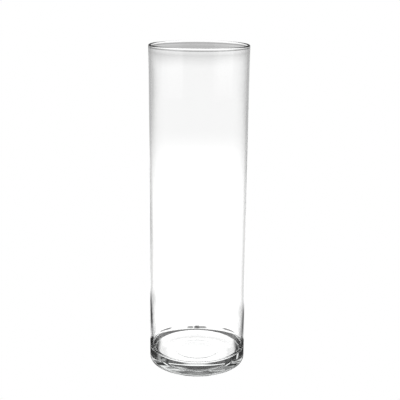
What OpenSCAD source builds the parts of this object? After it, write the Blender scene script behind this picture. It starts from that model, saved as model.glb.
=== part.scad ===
// Tall clear glass cylinder vase: one continuous piece of blown glass, with a
// heavy flat base, an even wall and a fire-polished rim. It holds water and
// stems, and stands on the narrow ring round its underside.
//
// Origin: the middle of the standing ring, on the surface that the vase stands on.
// +Z runs up the vase's axis, out of its mouth. Every size is in millimetres.

/* [Body] */
// Outside diameter of the wall
body_d = 152.4; // [110:0.1:220]
// Height from the standing ring to the top of the rim
body_h = 508; // [200:1:700]
// Thickness of the glass in the wall
wall_t = 3.5; // [2:0.1:6]

/* [Rim] */
// How much thicker than the wall the fire-polished lip is
rim_swell = 0.2; // [0.1:0.1:2]
// Height of the lip's straight inside, the narrowest place that things pass
lip_land_h = 1; // [1:0.5:8]
// Radius of the blend from the lip down to the inside of the wall
rim_blend_r = 10; // [4:0.5:20]

/* [Base] */
// Thickness of the glass between the floor and the standing ring's plane
base_t = 22; // [8:0.5:35]
// Radius of the corner inside, where the wall runs into the floor
floor_corner_r = 9; // [3:0.5:20]
// Radius of the heel outside, where the wall runs into the underside
heel_r = 8; // [2:0.5:12]
// Width of the flat ring that the vase stands on
ring_w = 10; // [3:0.5:15]
// Height of the shallow hollow under the base, at the axis
hollow_h = 1.5; // [0.5:0.1:4]

/* [Mould mark] */
// Mean diameter of the fine groove that the mould leaves under the base
mark_d = 71; // [30:1:110]
// Width of the groove
mark_w = 1.6; // [1:0.1:3]
// Depth of the groove
mark_depth = 0.15; // [0.1:0.05:0.4]

/* [Hidden] */

// Radii measured from the vase's axis.
body_r = body_d / 2;
bore_r = body_r - wall_t;
ring_outer_r = body_r - heel_r;
ring_inner_r = ring_outer_r - ring_w;

// The lip stands proud of the inside of the wall. It has a full round on top, a
// straight land inside, and the same round again below the land.
lip_r = (wall_t + rim_swell) / 2;
lip_axis_r = body_r - lip_r;
mouth_r = body_r - wall_t - rim_swell;
lip_z = body_h - lip_r;
land_z = lip_z - lip_land_h;

// The blend's arc touches the inside of the wall and the lip's lower round. The
// two rounds share a hair's breadth, so that no gap is left where they touch.
blend_lap = 0.001;
blend_axis_r = bore_r - rim_blend_r;
blend_reach = lip_r + rim_blend_r - blend_lap;
blend_z = land_z - sqrt(pow(blend_reach, 2) - pow(lip_axis_r - blend_axis_r, 2));

// A point inside the blend's round, on the line through the two centres.
past_touch = (lip_r + rim_blend_r / 2) / blend_reach;
past_touch_r = lip_axis_r + (blend_axis_r - lip_axis_r) * past_touch;
past_touch_z = land_z + (blend_z - land_z) * past_touch;

// The hollow is a spherical cap that springs from the ring's inner edge.
hollow_r = (pow(ring_inner_r, 2) + pow(hollow_h, 2)) / (2 * hollow_h);
hollow_axis_z = hollow_h - hollow_r;

// The groove is a shallow arc in section, as deep as its mark_depth into the
// hollow's roof.
mark_r = mark_d / 2;
mark_arc_r = (pow(mark_w / 2, 2) + pow(mark_depth, 2)) / (2 * mark_depth);
roof_z = hollow_axis_z + sqrt(pow(hollow_r, 2) - pow(mark_r, 2));
mark_axis_z = roof_z + mark_depth - mark_arc_r;

// Cuts run past the faces that they open.
over = 1;

round_fn = 192; // Facets round the vase
arc_fn = 64;    // Facets round a small arc
cap_fn = 720;   // Facets round a circle of which only a short arc is used

// The sliver between a square corner at the origin and a quarter round of radius r,
// for a corner whose material lies towards +X and +Y.
module corner_sliver(r) {
    difference() {
        translate([-over, -over]) square(r + over);
        translate([r, r]) circle(r, $fn = arc_fn);
    }
}

// Half-section of the outside: the wall up to the lip's round, with the heel rounded.
module outside_section() {
    difference() {
        square([body_r, lip_z]);
        translate([body_r, 0]) mirror([1, 0]) corner_sliver(heel_r);
    }
}

// Half-section of the inside, with the corner between wall and floor rounded.
module inside_section() {
    difference() {
        translate([-over, base_t]) square([bore_r + over, body_h]);
        translate([bore_r, base_t]) mirror([1, 0]) corner_sliver(floor_corner_r);
    }
}

// Half-section of the rim: the lip, and the blend that eases it into the wall.
module rim_section() {
    for (z = [land_z, lip_z])
        translate([lip_axis_r, z]) circle(lip_r, $fn = arc_fn);
    translate([mouth_r, land_z]) square([lip_axis_r - mouth_r, lip_land_h]);
    difference() {
        polygon([
            [bore_r, blend_z],
            [body_r - wall_t / 2, blend_z],
            [lip_axis_r, land_z],
            [past_touch_r, past_touch_z],
        ]);
        translate([blend_axis_r, blend_z]) circle(rim_blend_r, $fn = cap_fn);
    }
}

// Half-section of what is pressed into the underside: the hollow and the groove.
module underside_section() {
    translate([0, hollow_axis_z]) circle(hollow_r, $fn = cap_fn);
    translate([mark_r, mark_axis_z]) circle(mark_arc_r, $fn = arc_fn);
}

// The whole vase, turned about its axis.
module vase_body() {
    color([0.86, 0.93, 0.92, 0.35])
        rotate_extrude($fn = round_fn)
            difference() {
                union() {
                    difference() {
                        outside_section();
                        inside_section();
                    }
                    rim_section();
                }
                underside_section();
            }
}

vase_body();
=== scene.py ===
"""A tall clear glass cylinder vase on a white light table, ready to render.

The vase is one piece of mould-blown glass, turned here about its axis from the same
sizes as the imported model, with the small drift in thickness that blown glass has.
Lengths are in metres and angles in degrees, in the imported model's own frame.
"""

import logging
import math
from dataclasses import dataclass, field
from enum import Enum

import bpy
from mathutils import Matrix, Vector


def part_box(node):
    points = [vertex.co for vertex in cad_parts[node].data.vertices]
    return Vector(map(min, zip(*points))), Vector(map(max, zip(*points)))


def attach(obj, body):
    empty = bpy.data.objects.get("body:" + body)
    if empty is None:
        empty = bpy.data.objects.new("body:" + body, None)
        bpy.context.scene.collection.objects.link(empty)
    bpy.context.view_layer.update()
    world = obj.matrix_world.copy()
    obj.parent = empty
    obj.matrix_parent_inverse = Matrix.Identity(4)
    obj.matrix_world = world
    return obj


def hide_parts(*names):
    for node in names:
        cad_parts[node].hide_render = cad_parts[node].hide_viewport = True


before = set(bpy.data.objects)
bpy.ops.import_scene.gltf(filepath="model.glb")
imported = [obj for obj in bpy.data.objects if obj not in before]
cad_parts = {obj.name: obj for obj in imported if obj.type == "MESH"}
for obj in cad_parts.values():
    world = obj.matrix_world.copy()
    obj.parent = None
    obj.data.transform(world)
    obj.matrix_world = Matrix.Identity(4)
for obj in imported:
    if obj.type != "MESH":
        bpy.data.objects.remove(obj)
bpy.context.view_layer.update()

MM = 0.001
log = logging.getLogger("vase")

Point = tuple[float, float]
Span = tuple[float, float]
Colour = tuple[float, float, float, float]
Tree = bpy.types.NodeTree
Socket = bpy.types.NodeSocket
Value = Socket | float

WHITE: Colour = (1, 1, 1, 1)
FULL_TURN = 2 * math.pi
HALF_TURN_DEG = 180
OUTWARD, UPWARD, INWARD, DOWNWARD = 0, 90, 180, -90


class Surface(Enum):
    """Which part of the glass a point of the half-section is on."""

    BASE = "base"
    INSIDE = "inside"
    OUTSIDE = "outside"


def arc(centre: Point, radius: float, start: float, end: float, steps: int) -> list[Point]:
    """Points along an arc, from start to end.

    Args:
        centre: Distance from the axis and height of the arc's centre.
        radius: The arc's radius.
        start: Angle of the first point, in degrees from the outward direction.
        end: Angle of the last point.
        steps: How many equal steps the arc is cut into.

    Returns:
        The points, both ends included.
    """
    angles = [math.radians(start + (end - start) * k / steps) for k in range(steps + 1)]
    return [(centre[0] + radius * math.cos(a), centre[1] + radius * math.sin(a)) for a in angles]


def stretch(start: Point, end: Point, steps: int) -> list[Point]:
    """Points along a straight stretch, from start to end.

    Args:
        start: The first point.
        end: The last point.
        steps: How many equal steps the stretch is cut into.

    Returns:
        The points, both ends included.
    """
    shares = [k / steps for k in range(steps + 1)]
    return [(start[0] + (end[0] - start[0]) * t, start[1] + (end[1] - start[1]) * t) for t in shares]


def ease(value: float, low: float, high: float) -> float:
    """A smooth rise from 0 at low to 1 at high.

    Args:
        value: Where to read the rise.
        low: Where it leaves 0.
        high: Where it reaches 1.

    Returns:
        The height of the rise, from 0 to 1.
    """
    share = min(1.0, max(0.0, (value - low) / (high - low)))
    return share * share * (3 - 2 * share)


@dataclass(frozen=True)
class Drift:
    """One slow wave in the thickness of the wall, as the blown glass left it."""

    turns: int
    rise: float
    depth: float
    phase: float

    def at(self, turn: float, height: float) -> float:
        """How far the wave moves the surface.

        Args:
            turn: Angle round the vase, in radians.
            height: Height above the table.

        Returns:
            The movement towards the axis, in metres.
        """
        climb = FULL_TURN * height / self.rise
        return self.depth * math.cos(self.turns * turn + climb + math.radians(self.phase))


@dataclass
class GlassBody:
    """The vase itself: floor, wall, lip, heel and underside in one closed skin.

    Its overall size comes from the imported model. The sizes below are that model's own,
    then how far blowing has drawn the wall in, and last how finely each stretch is cut.
    """

    wall_t: float = 3.5 * MM
    rim_swell: float = 0.2 * MM
    lip_land_h: float = 1 * MM
    rim_blend_r: float = 10 * MM
    base_t: float = 22 * MM
    floor_corner_r: float = 9 * MM
    heel_r: float = 8 * MM
    ring_w: float = 10 * MM
    hollow_h: float = 1.5 * MM
    mark_d: float = 71 * MM
    mark_w: float = 1.6 * MM
    mark_depth: float = 0.15 * MM
    waist: float = 0.9 * MM
    waist_height: float = 270 * MM
    waist_spread: float = 150 * MM
    fade_h: float = 60 * MM
    lip_keep: float = 8 * MM
    facets: int = 256
    wall_steps: int = 60
    round_steps: int = 24
    corner_steps: int = 18
    floor_steps: int = 12
    roof_steps: int = 8
    short_steps: int = 4
    drifts: list[Drift] = field(
        default_factory=lambda: [
            Drift(turns=2, rise=0.61, depth=0.18 * MM, phase=20),
            Drift(turns=3, rise=-0.43, depth=0.10 * MM, phase=130),
            Drift(turns=5, rise=0.27, depth=0.05 * MM, phase=250),
            Drift(turns=0, rise=0.19, depth=0.05 * MM, phase=80),
        ]
    )
    body_r: float = field(init=False)
    body_h: float = field(init=False)
    bore_r: float = field(init=False)

    def __post_init__(self) -> None:
        """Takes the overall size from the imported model."""
        low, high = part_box("vase_body")
        self.body_r = (high.x - low.x) / 2
        self.body_h = high.z - low.z
        self.bore_r = self.body_r - self.wall_t

    def lip_section(self) -> list[tuple[Point, Surface]]:
        """The half-section from the top of the inside wall over the lip to the outside.

        Returns:
            The points in order, each with the surface it is on.
        """
        lip_r = (self.wall_t + self.rim_swell) / 2
        lip_axis_r = self.body_r - lip_r
        lip_z = self.body_h - lip_r
        land_z = lip_z - self.lip_land_h
        blend_axis_r = self.bore_r - self.rim_blend_r
        reach = lip_r + self.rim_blend_r
        drop = math.sqrt(reach**2 - (lip_axis_r - blend_axis_r) ** 2)
        touch = math.degrees(math.atan2(drop, lip_axis_r - blend_axis_r))
        blend = arc((blend_axis_r, land_z - drop), self.rim_blend_r, OUTWARD, touch, self.roof_steps)
        under = arc((lip_axis_r, land_z), lip_r, INWARD + touch, INWARD, self.short_steps)
        over = arc((lip_axis_r, lip_z), lip_r, INWARD, OUTWARD, self.round_steps)
        section = [(p, Surface.INSIDE) for p in blend]
        section += [(p, Surface.OUTSIDE) for p in under[1:] + over]
        return section

    def underside_section(self) -> list[tuple[Point, Surface]]:
        """The half-section from the heel to the middle of the underside.

        Returns:
            The points in order, each with the surface it is on.
        """
        ring_outer_r = self.body_r - self.heel_r
        ring_inner_r = ring_outer_r - self.ring_w
        cap_r = (ring_inner_r**2 + self.hollow_h**2) / (2 * self.hollow_h)
        cap_z = self.hollow_h - cap_r
        mark_r = self.mark_d / 2
        half_w = self.mark_w / 2
        mark_outer_r = mark_r + half_w
        mark_inner_r = mark_r - half_w
        groove_r = (half_w**2 + self.mark_depth**2) / (2 * self.mark_depth)
        spread = math.degrees(math.asin(half_w / groove_r))

        def roof(radius: float) -> Point:
            """The hollow's roof at a distance from the axis."""
            return radius, cap_z + math.sqrt(cap_r**2 - radius**2)

        heel = arc((ring_outer_r, self.heel_r), self.heel_r, OUTWARD, DOWNWARD, self.corner_steps)
        ring = stretch((ring_outer_r, 0), (ring_inner_r, 0), self.short_steps)
        shares = [k / self.roof_steps for k in range(self.roof_steps + 1)]
        outer_roof = [roof(ring_inner_r + (mark_outer_r - ring_inner_r) * share) for share in shares]
        groove_axis = (mark_r, roof(mark_r)[1] + self.mark_depth - groove_r)
        groove = arc(groove_axis, groove_r, UPWARD - spread, UPWARD + spread, self.roof_steps)
        inner_roof = [roof(mark_inner_r * (1 - share)) for share in shares]
        points = heel + ring[1:] + outer_roof[1:-1] + groove + inner_roof[1:]
        return [(p, Surface.BASE) for p in points]

    def section(self) -> list[tuple[Point, Surface]]:
        """The whole half-section, from the middle of the floor to that of the underside.

        Returns:
            The points in order, each with the surface it is on.
        """
        corner_axis_r = self.bore_r - self.floor_corner_r
        wall_foot_z = self.base_t + self.floor_corner_r
        floor = stretch((0, self.base_t), (corner_axis_r, self.base_t), self.floor_steps)
        corner_axis = (corner_axis_r, wall_foot_z)
        corner = arc(corner_axis, self.floor_corner_r, DOWNWARD, OUTWARD, self.corner_steps)
        lip = self.lip_section()
        blend_foot, outer_edge = lip[0][0], lip[-1][0]
        wall = stretch((self.bore_r, wall_foot_z), blend_foot, self.wall_steps)
        outside = stretch(outer_edge, (self.body_r, self.heel_r), self.wall_steps)
        section = [(p, Surface.BASE) for p in floor]
        section += [(p, Surface.INSIDE) for p in corner[1:] + wall[1:-1]] + lip
        section += [(p, Surface.OUTSIDE) for p in outside[1:-1]]
        return section + self.underside_section()

    def moved(self, point: Point, surface: Surface, turn: float) -> Point:
        """Where a point of the section really lies, once the glass has drifted.

        Args:
            point: Distance from the axis and height, as drawn.
            surface: The surface that the point is on.
            turn: Angle round the vase, in radians.

        Returns:
            The distance from the axis and the height, as blown.
        """
        if surface is Surface.BASE:
            return point
        radius, height = point
        above_base = ease(height, self.base_t, self.base_t + self.fade_h)
        below_lip = 1 - ease(height, self.body_h - self.fade_h, self.body_h - self.lip_keep)
        share = above_base * below_lip
        away = (height - self.waist_height) / self.waist_spread
        radius -= self.waist * math.exp(-away * away) * share
        if surface is Surface.INSIDE:
            radius -= share * sum(d.at(turn, height) for d in self.drifts)
        return radius, height

    def build(self) -> bpy.types.Object:
        """Turns the half-section about the axis into one closed mesh.

        Returns:
            The vase, in place on the table.
        """
        section = self.section()
        floor_z, roof_z = section[0][0][1], section[-1][0][1]
        turns = [FULL_TURN * k / self.facets for k in range(self.facets)]
        points: list[tuple[float, float, float]] = [(0, 0, floor_z)]
        for point, surface in section[1:-1]:
            for turn in turns:
                radius, height = self.moved(point, surface, turn)
                points.append((radius * math.cos(turn), radius * math.sin(turn), height))
        points.append((0, 0, roof_z))
        faces = self.skin(len(section) - 2, len(points) - 1)
        mesh = bpy.data.meshes.new("vase_glass")
        mesh.from_pydata(points, [], faces)
        mesh.polygons.foreach_set("use_smooth", [True] * len(mesh.polygons))
        mesh.update()
        vase = bpy.data.objects.new("vase_glass", mesh)
        bpy.context.scene.collection.objects.link(vase)
        return vase

    def skin(self, rings: int, last: int) -> list[tuple[int, ...]]:
        """The faces between the rings of points, and the two fans that close them.

        Args:
            rings: How many rings of points there are.
            last: Number of the point that closes the underside.

        Returns:
            Each face's points, in the order that turns it outwards.
        """
        count = self.facets
        last_ring = 1 + (rings - 1) * count
        faces: list[tuple[int, ...]] = []
        for k in range(count):
            after = (k + 1) % count
            faces.append((0, 1 + k, 1 + after))
            for ring in range(rings - 1):
                inner, outer = 1 + ring * count, 1 + (ring + 1) * count
                faces.append((inner + k, outer + k, outer + after, inner + after))
            faces.append((last_ring + after, last_ring + k, last))
        return faces


def wired(tree: Tree, kind: str, *values: Value, **settings: str | bool) -> bpy.types.Node:
    """Adds a node, sets it up and feeds its first inputs.

    Args:
        tree: The node tree.
        kind: The node's type.
        values: Sockets or plain values for the first inputs, in order.
        settings: The node's own settings.

    Returns:
        The node.
    """
    node = tree.nodes.new(kind)
    for name, setting in settings.items():
        setattr(node, name, setting)
    for slot, value in zip(node.inputs, values):
        feed(tree, slot, value)
    return node


def feed(tree: Tree, slot: Socket, value: Value) -> None:
    """Links a socket to an input, or sets the input to a plain value.

    Args:
        tree: The node tree.
        slot: The input.
        value: The socket or plain value for it.
    """
    if isinstance(value, bpy.types.NodeSocket):
        tree.links.new(value, slot)
    else:
        slot.default_value = value


def maths(tree: Tree, operation: str, *values: Value) -> Socket:
    """Adds a Math node and returns its result."""
    return wired(tree, "ShaderNodeMath", *values, operation=operation).outputs[0]


def rise(tree: Tree, value: Value, low: Value, high: Value) -> Socket:
    """Adds a smooth rise from 0 at low to 1 at high, and returns its result."""
    return wired(tree, "ShaderNodeMapRange", value, low, high, interpolation_type="SMOOTHSTEP").outputs[0]


def mix(tree: Tree, share: Value, first: Value, second: Value) -> Socket:
    """Adds a mix of two values.

    Args:
        tree: The node tree.
        share: How much of the second value there is, from 0 to 1.
        first: The value where share is 0.
        second: The value where share is 1.

    Returns:
        The mixed value.
    """
    node = wired(tree, "ShaderNodeMix", share)
    feed(tree, node.inputs["A"], first)
    feed(tree, node.inputs["B"], second)
    return node.outputs[0]


def noise(tree: Tree, place: Socket, size: float, detail: float) -> Socket:
    """Adds noise whose features are about a given size, and returns its value.

    Args:
        tree: The node tree.
        place: Where to read the noise.
        size: About how large one feature is, in metres.
        detail: How many finer layers are laid over it.

    Returns:
        The noise, around 0.5.
    """
    node = wired(tree, "ShaderNodeTexNoise")
    feed(tree, node.inputs["Vector"], place)
    node.inputs["Scale"].default_value = 1 / size
    node.inputs["Detail"].default_value = detail
    return node.outputs["Fac"]


@dataclass(frozen=True)
class ClearGlass:
    """Clear soda-lime glass as it left the mould.

    The wall is faintly rippled, the standing ring is scuffed from shelves, and the
    thick base shows the glass's slight green-grey.
    """

    bend: float = 1.52
    ripple_size: float = 34 * MM
    ripple_height: float = 0.05 * MM
    ripple_draw: float = 0.35
    ripple_detail: float = 2
    grain_size: float = 5 * MM
    grain_share: float = 0.02
    grain_detail: float = 1
    smudge_size: float = 22 * MM
    smudge_edge: Span = (0.52, 0.78)
    smudge_detail: float = 3
    smudge: float = 0.012
    scratch_size: float = 0.7 * MM
    scratch_edge: Span = (0.45, 0.7)
    scratch_detail: float = 2
    ring_scuff: float = 0.22
    ring_wear_h: float = 0.5 * MM
    depth_colour: Colour = (0.76, 0.84, 0.81, 1)
    depth_density: float = 1.6

    def material(self) -> bpy.types.Material:
        """Builds the finish.

        Returns:
            The material.
        """
        made = bpy.data.materials.new("clear_glass")
        made.use_nodes = True
        tree = made.node_tree
        shader = tree.nodes["Principled BSDF"]
        shader.inputs["Base Color"].default_value = WHITE
        shader.inputs["Metallic"].default_value = 0
        shader.inputs["IOR"].default_value = self.bend
        shader.inputs["Transmission Weight"].default_value = 1
        place = wired(tree, "ShaderNodeTexCoord").outputs["Object"]
        feed(tree, shader.inputs["Roughness"], self.dullness(tree, place))
        feed(tree, shader.inputs["Normal"], self.ripple(tree, place))
        volume = wired(tree, "ShaderNodeVolumeAbsorption", self.depth_colour, self.depth_density)
        tree.links.new(volume.outputs["Volume"], tree.nodes["Material Output"].inputs["Volume"])
        return made

    def dullness(self, tree: Tree, place: Socket) -> Socket:
        """Roughness: faint grease on the outside, and a scuffed standing ring.

        Args:
            tree: The material's nodes.
            place: The point on the vase.

        Returns:
            The roughness.
        """
        height = wired(tree, "ShaderNodeSeparateXYZ", place).outputs["Z"]
        worn = rise(tree, height, self.ring_wear_h, 0)
        grit = noise(tree, place, self.scratch_size, self.scratch_detail)
        scratches = rise(tree, grit, *self.scratch_edge)
        scuffed = maths(tree, "MULTIPLY", scratches, maths(tree, "MULTIPLY", worn, self.ring_scuff))
        grease = noise(tree, place, self.smudge_size, self.smudge_detail)
        smudges = rise(tree, grease, *self.smudge_edge)
        return maths(tree, "MULTIPLY_ADD", smudges, self.smudge, scuffed)

    def ripple(self, tree: Tree, place: Socket) -> Socket:
        """Slow ripple in the surface, stretched up the wall as the glass was drawn.

        Args:
            tree: The material's nodes.
            place: The point on the vase.

        Returns:
            The bent normal.
        """
        pull = (1, 1, self.ripple_draw)
        drawn = wired(tree, "ShaderNodeVectorMath", place, pull, operation="MULTIPLY").outputs[0]
        slow = noise(tree, drawn, self.ripple_size, self.ripple_detail)
        grain = noise(tree, drawn, self.grain_size, self.grain_detail)
        height = maths(tree, "MULTIPLY_ADD", grain, self.grain_share, slow)
        bump = wired(tree, "ShaderNodeBump")
        bump.inputs["Strength"].default_value = 1
        bump.inputs["Distance"].default_value = self.ripple_height
        feed(tree, bump.inputs["Height"], height)
        return bump.outputs["Normal"]


@dataclass(frozen=True)
class Viewpoint:
    """The camera: where it stands, how it is turned, and its lens."""

    distance: float = 1.321
    height: float = 0.6174
    down: float = 14.84
    aside: float = 0.13
    tilt: float = 0.47
    lens_mm: float = 78.66
    film_mm: float = 36.0

    def build(self) -> bpy.types.Object:
        """Makes the camera and gives it to the scene.

        Returns:
            The camera.
        """
        down, aside, tilt = (math.radians(a) for a in (self.down, self.aside, self.tilt))
        ahead = Vector((
            math.sin(aside) * math.cos(down),
            math.cos(aside) * math.cos(down),
            -math.sin(down),
        ))
        level = Vector((math.cos(aside), -math.sin(aside), 0))
        upright = level.cross(ahead)
        right = math.cos(tilt) * level + math.sin(tilt) * upright
        up = math.cos(tilt) * upright - math.sin(tilt) * level
        turned = Matrix((right, up, -ahead)).transposed()
        lens = bpy.data.cameras.new("camera")
        lens.sensor_width = self.film_mm
        lens.lens = self.lens_mm
        camera = bpy.data.objects.new("camera", lens)
        camera.matrix_world = Matrix.Translation((0, -self.distance, self.height)) @ turned.to_4x4()
        bpy.context.scene.collection.objects.link(camera)
        bpy.context.scene.camera = camera
        return camera


@dataclass(frozen=True)
class Panel:
    """A soft-edged panel of light, or a dark patch where its glow is low.

    In the tent it is a lamp, and its place is azimuth and elevation in degrees, as the vase sees it. On
    the table it is painted shade where its glow is low and painted light where it is high, and its place
    is across and behind the vase in metres. Its half sizes and its edge are in the same units.
    """

    name: str
    place: Point
    half: Point
    edge: float
    glow: float

    def over(self, tree: Tree, across: Socket, along: Socket, glow: Socket) -> Socket:
        """Lays the panel over the light that is there already.

        Args:
            tree: The nodes that the panel joins.
            across: The place's first coordinate.
            along: The place's second coordinate.
            glow: The light so far.

        Returns:
            The light with the panel in it.
        """
        place_across, place_along = self.place
        aside = maths(tree, "SUBTRACT", across, place_across)
        aside = maths(tree, "WRAP", aside, HALF_TURN_DEG, -HALF_TURN_DEG)
        above = maths(tree, "SUBTRACT", along, place_along)
        masks = [
            rise(tree, maths(tree, "ABSOLUTE", away), half + self.edge, half - self.edge)
            for away, half in zip((aside, above), self.half)
        ]
        laid = mix(tree, maths(tree, "MULTIPLY", *masks), glow, self.glow)
        laid.node.label = self.name
        return laid


def both_sides(name: str, place: Point, half: Point, edge: float, glow: float) -> list[Panel]:
    """Makes the same panel on the left and on the right.

    Args:
        name: The panel's name, after its side.
        place: The right one's centre.
        half: Half of its size in each direction.
        edge: How far its edge fades to either side.
        glow: Its light.

    Returns:
        The left panel and the right one.
    """
    sides = (("left", -1), ("right", 1))
    return [Panel(f"{side}_{name}", (sign * place[0], place[1]), half, edge, glow) for side, sign in sides]


@dataclass
class Studio:
    """The bright-field set: a pale light table, a glowing backdrop, and painted shade and painted light in
    the table's glow.

    The table's light falls off beside the strip behind the vase, so that the glass shows dark edges.
    Painted shade lies around the base, in place of the vase's shadow, and painted pools of light lie under
    the base and in front of it. Seen straight, the table and the tent are both plain white. A pair of
    values says where a change of light starts and where it ends, in metres on the table and in degrees in
    the tent.
    """

    # The table's top, which lies a gap below the standing ring.
    table_r: float = 3.0
    table_sides: int = 96
    gap: float = 0.03 * MM

    # The strip behind the vase: half widths at the axis, and how they grow per metre.
    strip_half: Span = (0.085, 0.135)
    strip_flare: Span = (0.12, 0.39)
    strip_start: Span = (-0.05, 0.05)
    table_back: float = 1.3
    table_end: Span = (0.9, 2.1)

    # Beside the strip: painted shade near the vase, in place of the vase's shadow, and the light further
    # out.
    side_reach: Span = (0.12, 0.22)
    painted_side_shade: float = 0.06
    table_side: float = 0.75

    # In front of the vase: the sector's half angles in degrees, and its light, brightest near the vase as
    # a painted pool of light from the front lamps.
    near_front_turn: float = 75
    far_front_turn: float = 125
    front_edge: float = 35
    front_reach: Span = (0.3, 0.8)
    painted_front_light: float = 1.6
    far_front: float = 1.0

    # Under the vase: a painted pool of light, as if light came through the base.
    painted_under_light_edge: Span = (0.078, 0.070)
    under: float = 1.15

    # The tent: the low backdrop, its sides, its top edge and the dusk above it.
    backdrop: float = 0.92
    backdrop_aside: Span = (8, 22)
    backdrop_side: float = 0.5
    backdrop_fade: Span = (-6.2, -4.6)
    backdrop_top: float = 0.4
    dusk_fade: Span = (-2, 4)
    dusk: float = 0.05

    # The light of the table and the tent where the camera sees them straight.
    seen_straight: float = 1.0

    # Painted shade on the table around the base, seen only through the glass, with one painted light gap
    # in it; and the lamps that hang in the tent.
    painted_shades: list[Panel] = field(
        default_factory=lambda: [
            # Painted shade beside the base, in place of the vase's contact shadow.
            *both_sides("painted_shade", place=(0.105, 0), half=(0.042, 0.075), edge=0.004, glow=0.04),
            # Painted shade further out, which darkens the glass's edges.
            Panel("painted_left_edge_shade", place=(-0.165, 0.18), half=(0.046, 0.1), edge=0.044, glow=0.03),
            Panel("painted_right_edge_shade", place=(0.15, 0.14), half=(0.04, 0.08), edge=0.04, glow=0.15),
            # Painted shade behind the base's back corners.
            *both_sides("corner", place=(0.058, 0.097), half=(0.013, 0.012), edge=0.005, glow=0.03),
            # Painted shade behind the base, then a painted light gap, then a narrow painted shade.
            Panel("painted_back_shade", place=(0, 0.094), half=(0.016, 0.009), edge=0.003, glow=0.26),
            Panel("painted_shade_gap", place=(-0.0054, 0.094), half=(0.001, 0.01), edge=0.0005, glow=1),
            Panel("painted_narrow_back_shade", place=(0.0004, 0.095), half=(0.0034, 0.012), edge=0.0006, glow=0.05),
        ]
    )
    panels: list[Panel] = field(
        default_factory=lambda: [
            Panel("backlight", place=(0, 29), half=(9, 6), edge=5, glow=0.9),
            Panel("overhead", place=(180, 62), half=(120, 28), edge=8, glow=0.7),
            *both_sides("low_card", place=(18, 8), half=(6, 5), edge=3, glow=0.65),
            Panel("spark", place=(-51, 23), half=(2.5, 3), edge=1, glow=1),
            Panel("glint", place=(41, 25), half=(6, 4), edge=3, glow=0.4),
            Panel("front", place=(180, -10), half=(110, 14), edge=10, glow=1),
            Panel("left_softbox", place=(-116, 14), half=(28, 21), edge=3, glow=1.4),
            Panel("right_softbox", place=(116, 14), half=(22, 21), edge=3, glow=1.4),
        ]
    )

    def table(self) -> bpy.types.Object:
        """Makes the light table's round top, a hair below the standing ring.

        Returns:
            The table.
        """
        turns = [FULL_TURN * k / self.table_sides for k in range(self.table_sides)]
        points = [(self.table_r * math.cos(t), self.table_r * math.sin(t), -self.gap) for t in turns]
        mesh = bpy.data.meshes.new("light_table")
        mesh.from_pydata(points, [], [tuple(range(len(points)))])
        table = bpy.data.objects.new("light_table", mesh)
        bpy.context.scene.collection.objects.link(table)
        mesh.materials.append(self.table_material())
        return table

    def table_material(self) -> bpy.types.Material:
        """Makes the light table's glow, with its painted shade and painted light.

        Returns:
            The material.
        """
        made = bpy.data.materials.new("light_table")
        made.use_nodes = True
        tree = made.node_tree
        place = wired(tree, "ShaderNodeNewGeometry").outputs["Position"]
        parts = wired(tree, "ShaderNodeSeparateXYZ", place).outputs
        radius = wired(tree, "ShaderNodeVectorMath", place, operation="LENGTH").outputs["Value"]
        glow = self.table_glow(tree, parts["X"], parts["Y"], radius)
        # Lays the painted shade patches, and their painted light gap, over the table's glow.
        for painted_shade in self.painted_shades:
            glow = painted_shade.over(tree, parts["X"], parts["Y"], glow)
        shine = wired(tree, "ShaderNodeEmission", WHITE, self.white_when_seen(tree, glow))
        tree.links.new(shine.outputs[0], tree.nodes["Material Output"].inputs["Surface"])
        return made

    def table_glow(self, tree: Tree, across: Socket, depth: Socket, radius: Socket) -> Socket:
        """The table's light before its painted shade patches: a bright strip behind, painted shade beside
        the vase, a painted pool of light in front and painted light under the base.

        Args:
            tree: The table's nodes.
            across: Distance to the right of the vase's axis.
            depth: Distance behind the axis.
            radius: Distance from the axis.

        Returns:
            The light.
        """
        aside = maths(tree, "ABSOLUTE", across)
        behind = maths(tree, "MAXIMUM", depth, 0)
        inner, outer = (
            maths(tree, "MULTIPLY_ADD", behind, flare, half)
            for flare, half in zip(self.strip_flare, self.strip_half)
        )
        strip = rise(tree, aside, outer, inner)
        strip = maths(tree, "MULTIPLY", strip, rise(tree, depth, *self.strip_start))
        far = rise(tree, depth, *self.table_end)
        away = rise(tree, radius, *self.side_reach)
        # Painted shade near the vase beside the strip, in place of the vase's shadow.
        side = mix(tree, far, mix(tree, away, self.painted_side_shade, self.table_side), self.backdrop_side)
        glow = mix(tree, strip, side, mix(tree, far, self.table_back, self.backdrop))
        ahead = maths(tree, "MULTIPLY", depth, -1)
        turn = maths(tree, "DEGREES", maths(tree, "ARCTAN2", aside, ahead))
        edge = mix(tree, away, self.near_front_turn, self.far_front_turn)
        in_front = rise(tree, turn, edge, maths(tree, "SUBTRACT", edge, self.front_edge))
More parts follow.
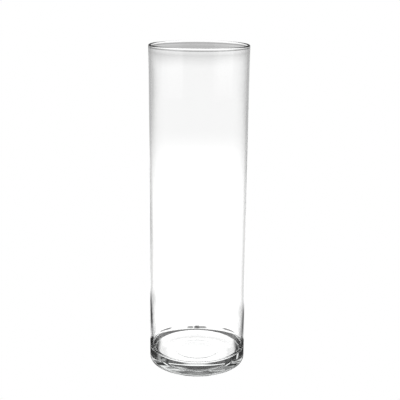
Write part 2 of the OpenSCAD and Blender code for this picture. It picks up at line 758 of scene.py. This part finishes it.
        # A painted pool of light on the table in front of the vase.
        front = mix(tree, rise(tree, radius, *self.front_reach), self.painted_front_light, self.far_front)
        glow = mix(tree, in_front, glow, front)
        # Painted light under the vase, as if light came through the base.
        return mix(tree, rise(tree, radius, *self.painted_under_light_edge), glow, self.under)

    def tent(self) -> bpy.types.World:
        """Makes the light that surrounds the table.

        Returns:
            The world.
        """
        world = bpy.data.worlds.new("light_tent")
        bpy.context.scene.world = world
        world.use_nodes = True
        tree = world.node_tree
        ahead = wired(tree, "ShaderNodeTexCoord").outputs["Generated"]
        parts = wired(tree, "ShaderNodeSeparateXYZ", ahead).outputs
        azimuth = maths(tree, "DEGREES", maths(tree, "ARCTAN2", parts["X"], parts["Y"]))
        elevation = maths(tree, "DEGREES", maths(tree, "ARCSINE", parts["Z"]))
        aside = rise(tree, maths(tree, "ABSOLUTE", azimuth), *self.backdrop_aside)
        low = mix(tree, aside, self.backdrop, self.backdrop_side)
        low = mix(tree, rise(tree, elevation, *self.backdrop_fade), low, self.backdrop_top)
        glow = mix(tree, rise(tree, elevation, *self.dusk_fade), low, self.dusk)
        for panel in self.panels:
            glow = panel.over(tree, azimuth, elevation, glow)
        sky = tree.nodes["Background"]
        sky.inputs["Color"].default_value = WHITE
        feed(tree, sky.inputs["Strength"], self.white_when_seen(tree, glow))
        return world

    def white_when_seen(self, tree: Tree, glow: Socket) -> Socket:
        """Turns a light to plain white where it is looked at straight, not through glass."""
        seen = wired(tree, "ShaderNodeLightPath").outputs["Is Camera Ray"]
        return mix(tree, seen, glow, self.seen_straight)


def main() -> None:
    """Builds the camera, the studio and the vase, and reports each piece."""
    logging.basicConfig(level=logging.INFO, format="%(message)s")
    studio = Studio()
    for made in (Viewpoint().build(), studio.table(), studio.tent()):
        log.info("%s: ready", made.name)
    vase = GlassBody().build()
    vase.data.materials.append(ClearGlass().material())
    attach(vase, "root")
    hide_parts("vase_body")
    log.info("%s: %d faces", vase.name, len(vase.data.polygons))
    bpy.context.scene.view_settings.view_transform = "Standard"


if __name__ == "__main__":
    main()
